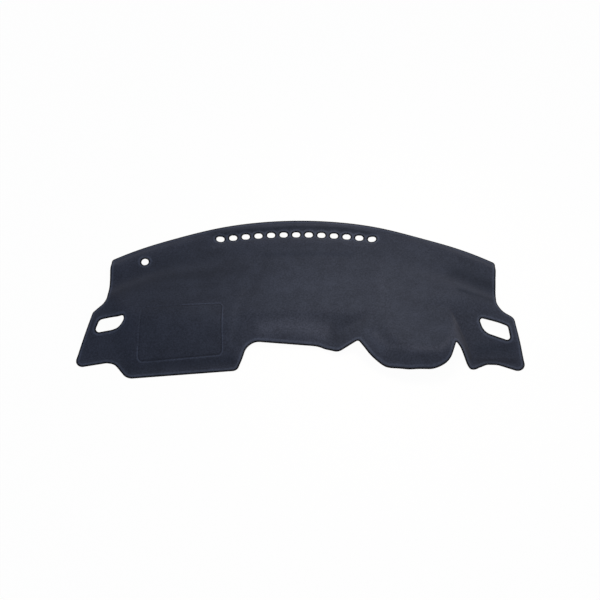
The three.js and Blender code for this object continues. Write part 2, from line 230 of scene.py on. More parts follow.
# Height field of the sheet's middle surface, in millimetres


def rear_inset(x, y):
    return REAR_RADIUS - np.hypot(x, y + REAR_RADIUS)


def rear_y(x, inset=0):
    return np.sqrt((REAR_RADIUS - inset) ** 2 - x**2) - REAR_RADIUS


def slot_row_y(x):
    run = x - SLOT_ROW_MIDDLE_X
    return np.sqrt(SLOT_ROW_RADIUS**2 - run**2) - SLOT_ROW_RADIUS - SLOT_ROW_INSET


def plateau(x, inset):
    end = step_between(END_START_X, END_FULL_X, np.abs(x))
    slope = PLATEAU_SLOPE + END_EXTRA_SLOPE * end
    height = soft_min(slope * inset - REAR_DROP, PLATEAU_TOP, PLATEAU_SOFTNESS)
    lip = REAR_LIP["height"] + REAR_LIP["end_height"] * end
    height = height + lip * bump(inset - REAR_LIP["inset"], REAR_LIP["width"])
    trough = TROUGH["depth"] + TROUGH["end_depth"] * end
    return height - trough * bump(inset - along(TROUGH_INSET, x), TROUGH["width"])


def defroster_channel(x, y, inset):
    half_row = ((SLOT_COUNT - 1) * SLOT_PITCH + SLOT_LENGTH) / 2
    offset = np.abs(x - SLOT_ROW_MIDDLE_X) - half_row - CHANNEL_END_MARGIN
    in_row = 1 - step_between(-CHANNEL_END_RUN, 0, offset)
    beyond_floor = np.maximum(np.abs(y - slot_row_y(x)) - CHANNEL["half_floor"], 0)
    strip = CHANNEL["strip_height"] * bump(inset - CHANNEL["strip_inset"], CHANNEL["strip_width"])
    return in_row * (strip - CHANNEL["depth"] * bump(beyond_floor, CHANNEL["wall_width"]))


def passenger_ridge(x, y):
    front_y, front_run = PASSENGER_RIDGE["front_y"], PASSENGER_RIDGE["front_run"]
    back_y, back_run = PASSENGER_RIDGE["back_y"], PASSENGER_RIDGE["back_run"]
    crest_x = PASSENGER_RIDGE["x"] + PASSENGER_RIDGE["lean"] * (y - front_y - front_run)
    fade = step_between(-back_y, -back_y + back_run, -y) * step_between(front_y, front_y + front_run, y)
    return PASSENGER_RIDGE["height"] * bump(x - crest_x, PASSENGER_RIDGE["width"]) * fade


def instrument_hood(x, y, inset):
    left = x < HOOD["middle_x"]
    rounding = np.where(left, HOOD["left_rounding"], HOOD["right_rounding"])
    flank = np.where(left, HOOD["left_flank"], HOOD["right_flank"])
    sideways = np.abs(x - HOOD["middle_x"]) - HOOD["half_width"]
    sideways = np.where(sideways > 0, sideways * flank, sideways)
    half_length = (HOOD["back_y"] - HOOD["front_y"]) / 2
    lengthways = np.abs(y - HOOD["front_y"] - half_length) - half_length
    corner = np.hypot(np.maximum(sideways + rounding, 0), np.maximum(lengthways + rounding, 0))
    inner = np.minimum(np.maximum(sideways + rounding, lengthways + rounding), 0)
    outside = corner + inner - rounding
    risen = step_between(-HOOD["back_y"], -HOOD["back_y"] + HOOD["rise_run"], inset)
    climb = PLATEAU_SLOPE * inset - REAR_DROP + HOOD["rise"] * risen
    crown = soft_min(climb, HOOD["top"], HOOD["top_softness"])
    dip = bump(x - HOOD_DIP["x"], HOOD_DIP["radius"]) * bump(y - HOOD_DIP["y"], HOOD_DIP["radius"])
    return crown - HOOD_DIP["depth"] * dip - HOOD["drop"] * soft_ramp(outside, HOOD["edge_softness"])


# The widest place of the wings
WING_REACH = max(abs(x) for x, _, _ in (*RIGHT_WING, *LEFT_WING))


def surface_height(x, y):
    inset = rear_inset(x, y)
    height = plateau(x, inset) + defroster_channel(x, y, inset)
    front_face = along(FRONT_SLOPE, x) * (y - along(FRONT_FOOT, x))
    height = soft_min(height, front_face, along(FRONT_SOFTNESS, x))
    side_face = SIDE_FALL["slope"] * (WING_REACH + SIDE_FALL["beyond_wing"] - np.abs(x)) + SIDE_FALL["foot"]
    height = soft_min(height, side_face, SIDE_FALL["softness"])
    height = height + passenger_ridge(x, y)
    with_hood = soft_max(height, instrument_hood(x, y, inset), HOOD["blend"])
    height = np.where(y < HOOD["back_y"], with_hood, height)
    return SHEET_THICKNESS / 2 + soft_ramp(height, GROUND_SOFTNESS)


# Outlines in the plan, all counterclockwise seen from above

ARC_STEP = math.radians(3)
LOOP_STEP = 1.0
REAR_POINTS = 160
SENSOR_POINTS = 80
LEAST_LOOP_POINTS = 8
# A corner that turns by less than this stays a plain point, in radians
LEAST_TURN = 0.001


def area_of(loop):
    x, y = loop[:, 0], loop[:, 1]
    return 0.5 * np.sum(x * np.roll(y, -1) - np.roll(x, -1) * y)


def unit(vectors):
    return vectors / np.linalg.norm(vectors, axis=-1, keepdims=True)


def corner_arc(before, corner, after, rounding):
    """The points of the arc that rounds one corner between its two neighbours."""
    back = unit(before - corner)
    ahead = unit(after - corner)
    opening = math.acos(np.clip(back @ ahead, -1, 1))
    turn = math.pi - opening
    if not rounding or turn < LEAST_TURN:
        return [corner]
    centre = corner + unit(back + ahead) * rounding / math.sin(opening / 2)
    start = corner + back * rounding / math.tan(opening / 2) - centre
    side = -np.sign(back[0] * ahead[1] - back[1] * ahead[0])
    steps = math.ceil(turn / ARC_STEP)
    points = []
    for step in range(steps + 1):
        angle = side * turn * step / steps
        cosine, sine = math.cos(angle), math.sin(angle)
        turned = (start[0] * cosine - start[1] * sine, start[0] * sine + start[1] * cosine)
        points.append(centre + np.array(turned))
    return points


def resampled(loop, step):
    """The closed loop with evenly spaced points, about a step apart."""
    closed = np.vstack([loop, loop[:1]])
    run = np.concatenate([[0], np.cumsum(np.linalg.norm(np.diff(closed, axis=0), axis=1))])
    places = np.linspace(0, run[-1], max(LEAST_LOOP_POINTS, round(run[-1] / step)), endpoint=False)
    return np.column_stack([np.interp(places, run, closed[:, axis]) for axis in (0, 1)])


def rounded_loop(corners):
    places = [np.array(corner[:2], float) for corner in corners]
    points = []
    for index, corner in enumerate(corners):
        before, after = places[index - 1], places[(index + 1) % len(places)]
        points += corner_arc(before, places[index], after, corner[2])
    loop = np.array(points)
    if area_of(loop) < 0:
        loop = loop[::-1]
    return resampled(loop, LOOP_STEP)


def loop_normals(loop):
    """The outward direction at each point of a counterclockwise loop."""
    run = unit(np.roll(loop, -1, axis=0) - np.roll(loop, 1, axis=0))
    return np.column_stack([run[:, 1], -run[:, 0]])


def rear_edge_y(x):
    depth = REAR_SHOULDER["left_depth"] if x < 0 else REAR_SHOULDER["right_depth"]
    return rear_y(x) - depth * bump(abs(x) - REAR_SHOULDER["x"], REAR_SHOULDER["width"])


def mat_outline():
    inner_x = np.linspace(REAR_LEFT_X, REAR_RIGHT_X, REAR_POINTS)[1:-1]
    rear = [(REAR_LEFT_X, rear_edge_y(REAR_LEFT_X), REAR_CORNER_ROUNDING)]
    rear += [(x, rear_edge_y(x), 0) for x in inner_x]
    rear.append((REAR_RIGHT_X, rear_edge_y(REAR_RIGHT_X), REAR_CORNER_ROUNDING))
    return rounded_loop((*rear, *RIGHT_WING, *HOOD_EDGE, *CENTRE_EDGE, *PASSENGER_EDGE, *LEFT_WING))


def slot_outline(index):
    x = SLOT_ROW_MIDDLE_X + (index - (SLOT_COUNT - 1) / 2) * SLOT_PITCH
    y = slot_row_y(x)
    half_length, half_width = SLOT_LENGTH / 2, SLOT_WIDTH / 2
    rounding = half_width - SLOT_END_FLAT / 2
    ways = ((-1, -1), (1, -1), (1, 1), (-1, 1))
    return rounded_loop([(x + dx * half_length, y + dy * half_width, rounding) for dx, dy in ways])


def sensor_outline():
    angles = np.linspace(0, 2 * math.pi, SENSOR_POINTS, endpoint=False)
    return np.array(SENSOR_MIDDLE) + SENSOR_RADIUS * np.column_stack([np.cos(angles), np.sin(angles)])


def cutouts():
    """The name and outline of each hole."""
    found = {
        "left_vent": rounded_loop(LEFT_VENT),
        "right_vent": rounded_loop(RIGHT_VENT),
        "sensor_hole": sensor_outline(),
    }
    for index in range(SLOT_COUNT):
        found[f"defrost_slot_{index + 1:02d}"] = slot_outline(index)
    return found


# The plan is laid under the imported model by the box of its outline
OUTLINE = mat_outline()
CUTOUTS = cutouts()
edge_low, edge_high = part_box("outer_edge_overlock")
PLAN_SHIFT = np.array([*((edge_low + edge_high) / 2)[:2]]) / MM - (OUTLINE.min(0) + OUTLINE.max(0)) / 2


# How far to each side of a point the slope is measured
SLOPE_REACH = 0.5


def place(plan, above):
    """Points in the frame, in metres, for plan points at the given distances above the middle surface."""
    x, y = plan[:, 0], plan[:, 1]
    rise_x = surface_height(x + SLOPE_REACH, y) - surface_height(x - SLOPE_REACH, y)
    rise_y = surface_height(x, y + SLOPE_REACH) - surface_height(x, y - SLOPE_REACH)
    slope_x, slope_y = rise_x / (2 * SLOPE_REACH), rise_y / (2 * SLOPE_REACH)
    normal = unit(np.column_stack([-slope_x, -slope_y, np.ones(len(x))]))
    surface = np.column_stack([plan + PLAN_SHIFT, surface_height(x, y)])
    return (surface + normal * np.reshape(above, (-1, 1))) * MM


class Rims:
    """The cut edges of the sheet, which tell how deep inside the felt a plan point lies."""

    def __init__(self):
        loops = [OUTLINE, *CUTOUTS.values()]
        signs = [1] + [-1] * len(CUTOUTS)
        self.points = np.vstack(loops)
        self.out = np.vstack([sign * loop_normals(loop) for sign, loop in zip(signs, loops)])
        self.tree = KDTree(len(self.points))
        for index, (x, y) in enumerate(self.points):
            self.tree.insert((x, y, 0), index)
        self.tree.balance()

    def depth(self, plan):
        nearest = np.array([self.tree.find((x, y, 0))[1] for x, y in plan])
        offset = plan - self.points[nearest]
        distance = np.linalg.norm(offset, axis=1)
        return np.where(np.sum(offset * self.out[nearest], axis=1) > 0, -distance, distance)


def distance_to_loop(plan, loop):
    """The distance from each plan point to the nearest point of a finely stepped loop."""
    tree = KDTree(len(loop))
    for index, (x, y) in enumerate(loop):
        tree.insert((x, y, 0), index)
    tree.balance()
    return np.array([tree.find((x, y, 0))[2] for x, y in plan])


# Shader nodes


class Wire:
    """A shader value. Arithmetic on it adds Math nodes."""

    def __init__(self, shader, output):
        self.shader = shader
        self.output = output

    def maths(self, operation, first, second):
        return self.shader.node("ShaderNodeMath", 0, {"operation": operation}, {0: first, 1: second})

    def __add__(self, other):
        return self.maths("ADD", self, other)

    def __mul__(self, other):
        return self.maths("MULTIPLY", self, other)

    def __rmul__(self, other):
        return self.maths("MULTIPLY", other, self)


class Shader:
    """The node tree of a material or of the world."""

    def __init__(self, owner):
        owner.use_nodes = True
        self.owner = owner
        self.tree = owner.node_tree
        self.tree.nodes.clear()

    def node(self, kind, output, settings=None, sockets=None):
        """Adds a node with its settings, sets or links its sockets, and gives one of its outputs."""
        node = self.tree.nodes.new(kind)
        for name, value in (settings or {}).items():
            setattr(node, name, value)
        for name, value in (sockets or {}).items():
            if isinstance(value, Wire):
                self.tree.links.new(value.output, node.inputs[name])
            else:
                node.inputs[name].default_value = value
        return Wire(self, node.outputs[output]) if output is not None else None

    def mix(self, factor, first, second, blend="MIX"):
        """A colour mixed from two; the numbers are the places of the colour sockets on the Mix node."""
        settings = {"data_type": "RGBA", "blend_type": blend}
        return self.node("ShaderNodeMix", 2, settings, {0: factor, 6: first, 7: second})

    def noise(self, vector, scale, detail, roughness):
        sockets = {"Vector": vector, "Scale": scale, "Detail": detail, "Roughness": roughness}
        return self.node("ShaderNodeTexNoise", "Fac", None, sockets)

    def limits(self, value, low, high):
        """A smooth step from 0 at the low value to 1 at the high value."""
        sockets = {"Value": value, "From Min": low, "From Max": high}
        return self.node("ShaderNodeMapRange", 0, {"interpolation_type": "SMOOTHSTEP"}, sockets)

    def position(self):
        return self.node("ShaderNodeTexCoord", "Object")

    def surface(self, sockets):
        shading = self.node("ShaderNodeBsdfPrincipled", "BSDF", None, sockets)
        self.node("ShaderNodeOutputMaterial", None, None, {"Surface": shading})


def linear(red, green, blue):
    """A linear colour from the usual 0 to 255 screen values."""
    shares = [value / 255 for value in (red, green, blue)]
    return (*(s / 12.92 if s <= 0.04045 else ((s + 0.055) / 1.055) ** 2.4 for s in shares), 1.0)


def scaled(colour, factor):
    return (*(value * factor for value in colour[:3]), 1.0)


# Noise in the finishes: scale over a metre, detail and roughness
BRUSHED_PILE = (22.0, 2.0, 0.5)
MOTTLED_PILE = (210.0, 2.0, 0.6)
PILE_FIBRES = (640.0, 2.0, 0.7)
MATTED_FELT = (60.0, 3.0, 0.6)
FELT_FIBRES = (380.0, 3.0, 0.7)
UNEVEN_THREAD = (300.0, 2.0, 0.5)
THREAD_TWIST = (1800.0, 1.0, 0.5)

# The stretch of the noise that goes from the dark to the light tone, and those tones
FELT_RANGE = (0.36, 0.64)
THREAD_RANGE = (0.35, 0.65)
PILE_DARK, PILE_LIGHT = 0.68, 1.32
FIBRE_DARK, FIBRE_LIGHT = 0.7, 1.35
SHEEN_COLOUR = linear(205, 208, 228)


def velour_finish(settings):
    """Short-pile velour: a soft mottled colour, lighter fibre tips and a fine uneven nap."""
    shader = Shader(bpy.data.materials.new("velour_pile"))
    where = shader.position()
    colour = (*settings.colour, 1.0)
    brushed = shader.noise(where, *BRUSHED_PILE)
    mottled = shader.noise(where, *MOTTLED_PILE)
    fibres = shader.noise(where, *PILE_FIBRES)
    tone = 0.16 * brushed + 0.44 * mottled + 0.40 * fibres
    light = shader.limits(tone, *FELT_RANGE)
    pile = shader.mix(light, scaled(colour, PILE_DARK), scaled(colour, PILE_LIGHT))
    # The pile's colour is multiplied by the painted light and shade of the sheet: strokes, rim highlight
    # and pressed line
    tint = shader.node("ShaderNodeAttribute", "Color", {"attribute_name": PAINTED_LIGHT_ATTRIBUTE})
    base = shader.mix(1.0, pile, tint, "MULTIPLY")
    height = 0.5 * fibres + 0.5 * mottled
    bumps = {"Strength": 0.55, "Distance": settings.nap_depth, "Height": height}
    normal = shader.node("ShaderNodeBump", "Normal", None, bumps)
    shader.surface({
        "Base Color": base,
        "Roughness": 0.95,
        "Specular IOR Level": 0.15,
        "Sheen Weight": settings.sheen,
        "Sheen Roughness": 0.5,
        "Sheen Tint": SHEEN_COLOUR,
        "Normal": normal,
    })
    return shader.owner


def felt_backing_finish(settings):
    """The plain needled felt of the underside, coarser and flatter than the velour."""
    shader = Shader(bpy.data.materials.new("felt_backing"))
    where = shader.position()
    matted = shader.noise(where, *MATTED_FELT)
    fibres = shader.noise(where, *FELT_FIBRES)
    tone = 0.4 * matted + 0.6 * fibres
    colour = (*settings.backing_colour, 1.0)
    light = shader.limits(tone, *FELT_RANGE)
    base = shader.mix(light, scaled(colour, FIBRE_DARK), scaled(colour, FIBRE_LIGHT))
    bumps = {"Strength": 0.7, "Distance": 0.0005, "Height": fibres}
    normal = shader.node("ShaderNodeBump", "Normal", None, bumps)
    shader.surface({"Base Color": base, "Roughness": 1.0, "Specular IOR Level": 0.1, "Normal": normal})
    return shader.owner


def thread_finish(settings):
    """Spun polyester thread, whose fine twist runs across each stitch."""
    shader = Shader(bpy.data.materials.new("spun_thread"))
    where = shader.position()
    uneven = shader.noise(where, *UNEVEN_THREAD)
    twist = shader.noise(where, *THREAD_TWIST)
    colour = (*settings.colour, 1.0)
    light = shader.limits(0.5 * uneven + 0.5 * twist, *THREAD_RANGE)
    base = shader.mix(light, scaled(colour, FIBRE_DARK), scaled(colour, FIBRE_LIGHT))
    bumps = {"Strength": 0.4, "Distance": 0.0002, "Height": twist}
    normal = shader.node("ShaderNodeBump", "Normal", None, bumps)
    shader.surface({
        "Base Color": base,
        "Roughness": 0.9,
        "Specular IOR Level": 0.15,
        "Normal": normal,
    })
    return shader.owner


def finish_named(name, make, settings):
    return bpy.data.materials.get(name) or make(settings)


# Pieces


def piece_from(name, shape, materials):
    mesh = bpy.data.meshes.new(name)
    shape.to_mesh(mesh)
    shape.free()
    for material in materials:
        mesh.materials.append(material)
    piece = bpy.data.objects.new(name, mesh)
    bpy.context.scene.collection.objects.link(piece)
    return piece


# Points of a piece that lie closer than this are one point, in metres
WELD_DISTANCE = 1e-7


def stitched_band(name, loop, towards_sheet, settings):
    """The overlock thread around one cut edge: a rounded band, ribbed by its slanted stitches."""
    length = np.sum(np.linalg.norm(np.roll(loop, -1, axis=0) - loop, axis=1))
    stitches = round(length / (settings.pitch / MM))
    rings = stitches * settings.steps_per_stitch
    sides = settings.sides
    path = resampled(loop, length / rings)
    out = loop_normals(path)
    rings = len(path)
    rib = settings.rib_height / MM / 2
    half_depth = settings.depth / MM / 2
    half_thickness = settings.thickness / MM / 2 - rib
    middle_depth = half_depth - rib
    rows = []
    for side in range(sides + 1):
        angle = 2 * math.pi * (side % sides) / sides
        phase = stitches * np.arange(rings) / rings + settings.slant * math.cos(angle)
        thread = rib * (2 * np.abs(np.sin(math.pi * phase)) - 1)
        depth = middle_depth - (half_depth - rib + thread) * math.cos(angle)
        above = (half_thickness + thread) * math.sin(angle)
        row = place(path + towards_sheet * out * depth[:, None], above)
        rows.append(np.vstack([row, row[:1]]))
    shape = bmesh.new()
    bmesh.ops.create_grid(shape, x_segments=rings, y_segments=sides, size=1.0)
    shape.verts.ensure_lookup_table()
    for vertex, point in zip(shape.verts, np.vstack(rows)):
        vertex.co = point
    bmesh.ops.remove_doubles(shape, verts=shape.verts, dist=WELD_DISTANCE)
    bmesh.ops.recalc_face_normals(shape, faces=shape.faces)
    for face in shape.faces:
        face.smooth = True
    piece = piece_from(name, shape, [finish_named("spun_thread", thread_finish, settings)])
    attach(piece, "root")
    return piece


# Depths inside the felt at which the sheet's mesh has a row of points along each cut edge, in millimetres
SHEET_EDGE_DEPTH = 1.2
RIM_ROWS = (2.6, 4.4, 6.2, 8.0, 9.8, 12.4)
LINE_ROWS = (-4.5, -2.2, -1.1, 0.0, 1.1, 2.2, 3.3, 4.6, 6.4)
PINCH_START = 13.0

# How the rows of points keep clear of each other: a tolerance in millimetres, then shares of the mesh step
ROW_TOLERANCE = 0.15
RIM_CLEARANCE = 0.55
LINE_CLEARANCE = 0.45
FINE_STEP = 0.8

# A triangle belongs to the sheet where its middle is deeper than this share of the edge's depth
INSIDE_SHARE = 0.8
MERGE_DISTANCE = 1e-5


def moved_loop(loop, distance):
    return loop + loop_normals(loop) * distance


def sheet_plan(rims, point_step):
    """Points, rims and triangles of the flat sheet with its holes."""
    outline = resampled(moved_loop(OUTLINE, -SHEET_EDGE_DEPTH), point_step)
    fine_step = point_step * FINE_STEP
    holes = [resampled(moved_loop(loop, SHEET_EDGE_DEPTH), fine_step) for loop in CUTOUTS.values()]
    loops = [outline, *holes]
    extra = []
    for row in RIM_ROWS:
        rows = [resampled(moved_loop(OUTLINE, -row), point_step)]
        rows += [resampled(moved_loop(loop, row), point_step) for loop in CUTOUTS.values()]
        for points in rows:
            extra.append(points[rims.depth(points) > row - ROW_TOLERANCE])
    line = rounded_loop(AIRBAG_LINE)
    for row in LINE_ROWS:
        extra.append(resampled(moved_loop(line, row), fine_step))
    low, high = OUTLINE.min(0), OUTLINE.max(0)
    row_step = point_step * math.sqrt(3) / 2
    grid = []
    for index, y in enumerate(np.arange(low[1], high[1], row_step)):
        across = np.arange(low[0] + (index % 2) * point_step / 2, high[0], point_step)
        grid.append(np.column_stack([across, np.full(len(across), y)]))
    grid = np.vstack(grid)
    grid = grid[rims.depth(grid) > RIM_ROWS[-1] + point_step * RIM_CLEARANCE]
    grid = grid[distance_to_loop(grid, line) > LINE_ROWS[-1] + point_step * LINE_CLEARANCE]
    edges = []
    start = 0
    for loop in loops:
        count = len(loop)
        edges += [(start + index, start + (index + 1) % count) for index in range(count)]
        start += count
    points = np.vstack([*loops, *extra, grid])
    coords = [Vector(point) for point in points]
    found, _, triangles, *_ = delaunay_2d_cdt(coords, edges, [], 1, MERGE_DISTANCE, False)
    plan = np.array([tuple(point) for point in found])
    triangles = np.array(triangles)
    inside = rims.depth(plan[triangles].mean(1)) > SHEET_EDGE_DEPTH * INSIDE_SHARE
    return plan, triangles[inside], line


def pressed_line(plan, line, settings):
    """The shallow groove that marks the airbag's cover."""
    distance = distance_to_loop(plan, line)
    return settings.line_depth / MM * bump(distance, settings.line_width / MM / 2)


# Strokes of painted light (+) and painted shade (-) over the sheet, standing in for form and light that the
# relief and the lamp don't give, with a warmer (+) or cooler (-) cast
# Each has its points in the plan, its half width, its tone and its warmth
PAINTED_LIGHT_STROKES = {
    "left trough": (((-590, -315), (-465, -260), (-310, -240), (-185, -210)), 26, -0.24, 0.0),
    "left shoulder": (((-580, -255), (-425, -180), (-215, -140)), 30, -0.08, 0.0),
    "passenger top": (((-470, -380), (-365, -375), (-265, -320)), 30, -0.14, 0.0),
    "passenger ledge": (((-470, -310), (-205, -275)), 12, -0.10, 0.0),
    "passenger hem": (((-515, -545), (-205, -525)), 16, -0.20, -0.05),
    "beside the sensor": (((-585, -175), (-335, -65)), 25, 0.20, 0.08),
    "behind the slots": (((-290, -65), (-170, -45), (-15, -30), (130, -35), (250, -60)), 7, -0.34, -0.06),
    "before the slots": (((-280, -115), (-165, -100), (-15, -90), (130, -95), (245, -115)), 9, 0.14, 0.04),
    "fold before the slots": (((-115, -155), (-10, -150), (160, -150)), 12, -0.15, -0.06),
    "rear rim": (((-235, -25), (200, -20)), 9, 0.24, 0.10),
    "fold beside the ridge": (((-105, -165), (-120, -230), (-140, -315)), 16, -0.14, 0.0),
    "centre top": (((-65, -285), (95, -285)), 45, 0.16, 0.0),
    "centre front": (((-110, -432), (0, -428), (75, -440)), 24, 0.66, 0.18),
    "centre front facet": (((95, -420), (110, -455)), 14, -0.16, 0.0),
    "ridge light": (((-175, -305), (-195, -385), (-215, -485)), 12, 0.18, 0.04),
    "hood left side": (((260, -245), (245, -390)), 16, 0.18, 0.02),
    "hood left foot": (((200, -455), (250, -520)), 10, 0.20, 0.0),
    "hood brow": (
        ((225, -470), (265, -510), (320, -530), (410, -530), (455, -480), (470, -405)), 8, 0.24, 0.08,
    ),
    "right shoulder": (((505, -225), (610, -275)), 34, -0.32, -0.05),
    "right fold": (((500, -305), (595, -335)), 10, -0.38, -0.10),
    "right wing": (((545, -490), (645, -480)), 20, -0.22, -0.05),
    "right wing hem": (((540, -525), (650, -525)), 10, -0.30, 0.0),
    "wing beside the hood": (((480, -440), (500, -480), (515, -520)), 8, -0.50, -0.12),
}
PAINTED_LIGHT_ATTRIBUTE = "painted_light_tint"
WARM = np.array([0.5, 0.0, -0.5])

# The felt swells beside the thread, and a painted highlight lightens the colour along this swell
RIM_HIGHLIGHT = 0.9
RIM_TONE_DEPTH = 8.0
RIM_TONE_WIDTH = 2.8

# Painted shade in the groove of the pressed line and a painted highlight on its outer lip, strongest at its
# right and front sides
LINE_GROOVE_SHADE = -0.4
LINE_LIP_HIGHLIGHT = 0.9
LINE_LIP_OFFSET = 3.2
LINE_FAINT_SHARE = 0.35


def distance_to_stroke(plan, points):
    nearest = np.full(len(plan), np.inf)
    for start, end in zip(points, points[1:]):
        run = np.array(end, float) - start
        share = np.clip((plan - start) @ run / (run @ run), 0, 1)
        nearest = np.minimum(nearest, np.linalg.norm(plan - (start + share[:, None] * run), axis=1))
    return nearest


def line_painted_light(plan, line, half_width):
    """The painted shade and painted highlight of the pressed airbag line."""
    middle = line.mean(0)
    strong = (plan[:, 0] > middle[0]) | (plan[:, 1] < middle[1] - (line[:, 1].max() - middle[1]) / 2)
    share = np.where(strong, 1.0, LINE_FAINT_SHARE)
    groove = bump(distance_to_loop(plan, line), half_width)
    lip = bump(distance_to_loop(plan, moved_loop(line, LINE_LIP_OFFSET)), half_width)
    return share * (LINE_GROOVE_SHADE * groove + LINE_LIP_HIGHLIGHT * lip)


def painted_light_tint(plan, depth, line, line_half_width):
    """The colour factor at each plan point: the painted light and shade of the strokes, the painted rim
    highlight and the painted light of the pressed line.
    """
    tint = np.ones((len(plan), 3))
    for points, half_width, tone, warmth in PAINTED_LIGHT_STROKES.values():
        strength = bump(distance_to_stroke(plan, points), half_width)
        tint *= 1 + strength[:, None] * (tone + warmth * WARM)
    # Painted highlight along the swell beside the stitched edge
    rim = 1 + RIM_HIGHLIGHT * bump(depth - RIM_TONE_DEPTH, RIM_TONE_WIDTH)
    # Painted shade and highlight of the pressed line
    pressed = 1 + line_painted_light(plan, line, line_half_width)
    return tint * (rim * pressed)[:, None]


def build_sheet(settings):
    rims = Rims()
    plan, triangles, line = sheet_plan(rims, settings.point_step / MM)
    depth = rims.depth(plan)
    pinch = 1 - settings.edge_pinch * (1 - step_between(SHEET_EDGE_DEPTH, PINCH_START, depth))
    half = SHEET_THICKNESS / 2 * pinch
    roll = settings.rim_roll / MM * bump(depth - RIM_TONE_DEPTH, RIM_TONE_WIDTH)
    upper = place(plan, half + roll - pressed_line(plan, line, settings))
    lower = place(plan, -half)
    shape = bmesh.new()
    # The painted light and shade is kept per point in a colour attribute
    painted_light_layer = shape.verts.layers.float_color.new(PAINTED_LIGHT_ATTRIBUTE)
    verts = [shape.verts.new(point) for point in lower]
    for vert, colour in zip(verts, painted_light_tint(plan, depth, line, settings.line_width / MM / 2)):
        vert[painted_light_layer] = (*colour, 1.0)
    faces = [shape.faces.new([verts[index] for index in triangle]) for triangle in triangles]
    for face in faces:
        face.material_index = 1
    raised = bmesh.ops.extrude_face_region(shape, geom=faces, use_keep_orig=True)["geom"]
    shape.verts.ensure_lookup_table()
    place_of = {tuple(vert.co): index for index, vert in enumerate(verts)}
    top_verts = [item for item in raised if isinstance(item, bmesh.types.BMVert)]
    targets = [(vert, upper[place_of[tuple(vert.co)]]) for vert in top_verts]
    for vert, target in targets:
        vert.co = target
    for item in raised:
        if isinstance(item, bmesh.types.BMFace):
            item.material_index = 0
    loose = [vert for vert in shape.verts if not vert.link_faces]
    bmesh.ops.delete(shape, geom=loose, context="VERTS")
    bmesh.ops.recalc_face_normals(shape, faces=shape.faces)
    for face in shape.faces:
        face.smooth = True
    materials = [
        finish_named("velour_pile", velour_finish, settings),
        finish_named("felt_backing", felt_backing_finish, settings),
    ]
    piece = piece_from("velour_sheet", shape, materials)
    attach(piece, "root")
    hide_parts("mat_sheet")
    return piece


# Settings


class SheetSettings(bpy.types.PropertyGroup):
    """The velour sheet."""

    point_step: bpy.props.FloatProperty(
        name="Mesh step", description="Distance between the points of the sheet's mesh",
        default=0.005, unit="LENGTH",
    )
    edge_pinch: bpy.props.FloatProperty(
        name="Edge pinch", description="Share of its thickness that the felt loses at the stitched edge",
        default=0.35,
    )
    rim_roll: bpy.props.FloatProperty(
        name="Rim roll", description="Height of the roll of felt beside the stitched edge",
        default=0.0009, unit="LENGTH",
    )
    line_depth: bpy.props.FloatProperty(
        name="Line depth", description="Depth of the pressed airbag line", default=0.0014, unit="LENGTH"
    )
    line_width: bpy.props.FloatProperty(
        name="Line width", description="Width of the pressed airbag line", default=0.0036, unit="LENGTH"
    )
    colour: bpy.props.FloatVectorProperty(
        name="Velour colour", description="Linear colour of the pile",
        default=linear(42, 47, 60)[:3], subtype="COLOR",
    )
    backing_colour: bpy.props.FloatVectorProperty(
        name="Backing colour", description="Linear colour of the underside",
        default=linear(48, 49, 54)[:3],
        subtype="COLOR",
    )
    sheen: bpy.props.FloatProperty(
        name="Sheen", description="Strength of the soft light on the pile", default=0.12
    )
    nap_depth: bpy.props.FloatProperty(
        name="Nap depth", description="Height of the pile's unevenness", default=0.0005, unit="LENGTH"
    )


class OverlockSettings(bpy.types.PropertyGroup):
    """The stitched edges."""

    pitch: bpy.props.FloatProperty(
        name="Stitch pitch", description="Distance from one stitch to the next",
        default=0.003, unit="LENGTH",
    )
    depth: bpy.props.FloatProperty(
        name="Stitch depth", description="How far the stitches reach over the felt",
        default=0.0058, unit="LENGTH",
    )
    thickness: bpy.props.FloatProperty(
        name="Edge thickness", description="Thickness of the stitched edge",
        default=0.004, unit="LENGTH",
    )
    rib_height: bpy.props.FloatProperty(
        name="Rib height", description="How far a stitch stands over the gap beside it",
        default=0.0005, unit="LENGTH",
    )
    slant: bpy.props.FloatProperty(
        name="Slant", description="Shift of a stitch across the band, in pitches", default=0.3
    )
    steps_per_stitch: bpy.props.IntProperty(
        name="Steps per stitch", description="Mesh rings for one stitch", default=4
    )
    sides: bpy.props.IntProperty(name="Sides", description="Mesh points around the band", default=10)
    colour: bpy.props.FloatVectorProperty(
        name="Thread colour", description="Linear colour of the thread",
        default=linear(7, 8, 11)[:3], subtype="COLOR",
    )


class StageSettings(bpy.types.PropertyGroup):
    """Floor, light and camera."""

    camera_distance: bpy.props.FloatProperty(
        name="Camera distance", description="From the camera to its target", default=2.4, unit="LENGTH"
    )
    camera_elevation: bpy.props.FloatProperty(
        name="Camera elevation", description="Above the horizon",
        default=math.radians(60), subtype="ANGLE",
    )
    camera_lens: bpy.props.FloatProperty(
        name="Camera lens", description="Focal length on a 36 mm sensor, in millimetres", default=45.96
    )
    camera_target: bpy.props.FloatVectorProperty(
        name="Camera target", description="Point that the camera looks at",
        default=(-0.00040, -0.03584, 0.032),
        subtype="TRANSLATION",
    )
    floor_size: bpy.props.FloatProperty(
        name="Floor size", description="Side of the square floor", default=24.0, unit="LENGTH"
    )
    floor_glow: bpy.props.FloatProperty(
        name="Floor glow", description="Share of plain white in what the camera sees of the floor",
        default=0.97,
    )
    sky_strength: bpy.props.FloatProperty(
        name="Sky strength", description="Level of the even light from all sides", default=0.62
    )
    key_power: bpy.props.FloatProperty(
        name="Key power", description="Power of the lamp in watts", default=5.5
    )


# Stage

